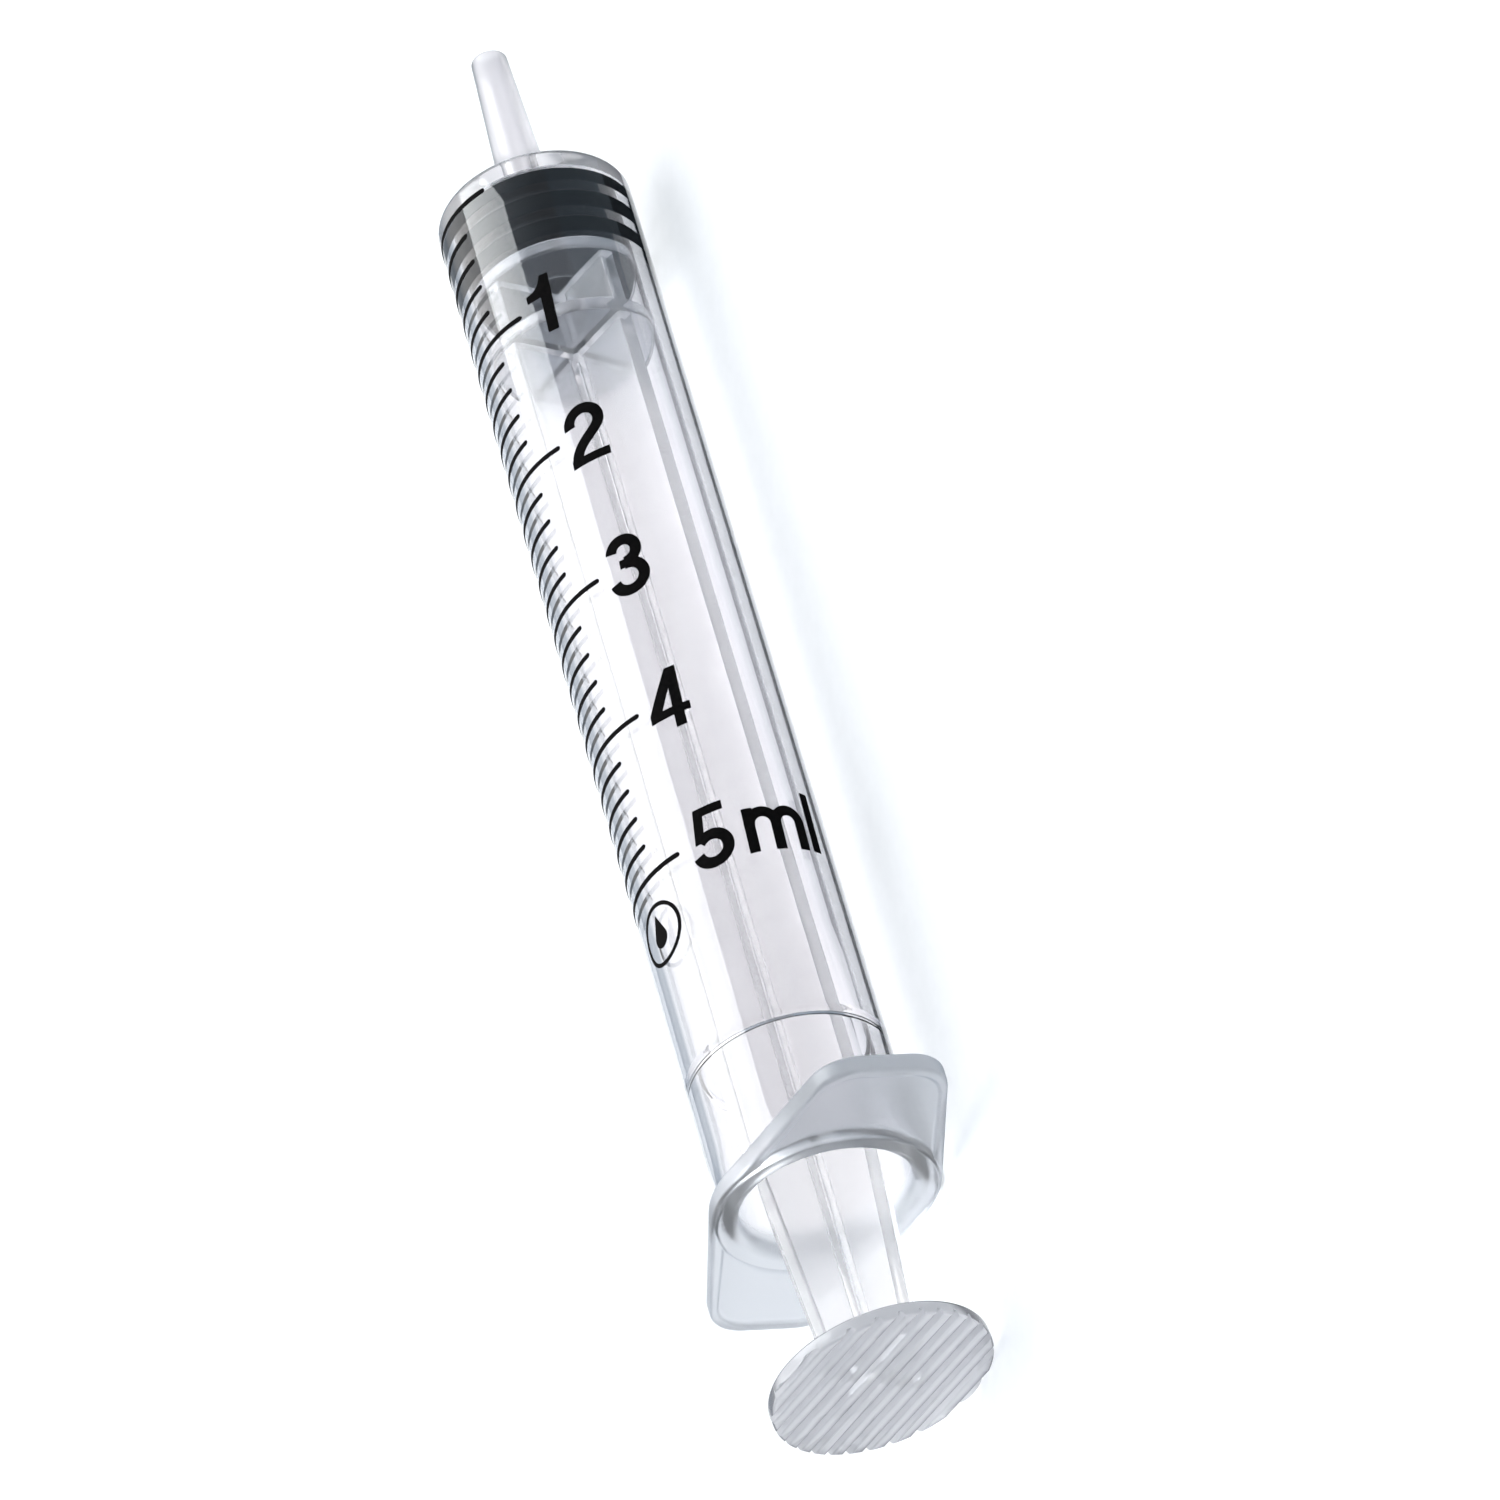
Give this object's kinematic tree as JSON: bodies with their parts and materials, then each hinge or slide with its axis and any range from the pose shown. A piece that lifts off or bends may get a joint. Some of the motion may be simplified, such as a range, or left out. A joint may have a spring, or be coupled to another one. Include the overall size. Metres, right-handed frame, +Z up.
{
  "type": "oral syringe",
  "caption": "Clear oral syringe with a slim slip nozzle, oval finger flange, printed millilitre scale, dark rubber stopper and a cross-ribbed plunger with a round ridged thumb press.",
  "frame": {"origin": "centre of the nozzle's mouth, on the barrel's axis", "axes": "+X along the barrel's axis, out of the nozzle; +Y and -Y towards the ends of the finger flange; +Z up, with the syringe lying on its side and the flange's narrow way upright"},
  "size_m": [0.1058, 0.0274, 0.0144],
  "materials": {
    "clear_plastic": "clear moulded polypropylene, glossy",
    "stopper_rubber": "satin black rubber",
    "translucent_plastic": "milky translucent moulded plastic, satin",
    "scale_ink": "matte black printed ink"
  },
  "bodies": {
    "barrel": {"barrel": "clear_plastic", "scale_long_lines": "scale_ink", "scale_short_lines": "scale_ink"},
    "stopper": {"rubber_stopper": "stopper_rubber"},
    "plunger": {"plunger_rod": "translucent_plastic"}
  },
  "joints": [
    {"name": "plunger_slide", "type": "slide", "parent": "barrel", "child": "stopper", "axis": [-1, 0, 0], "range_m": [0, 0.0548]},
    {"name": "plunger_turn", "type": "hinge", "parent": "stopper", "child": "plunger", "pos_m": [-0.05, 0, 0], "axis": [1, 0, 0], "continuous": true}
  ]
}
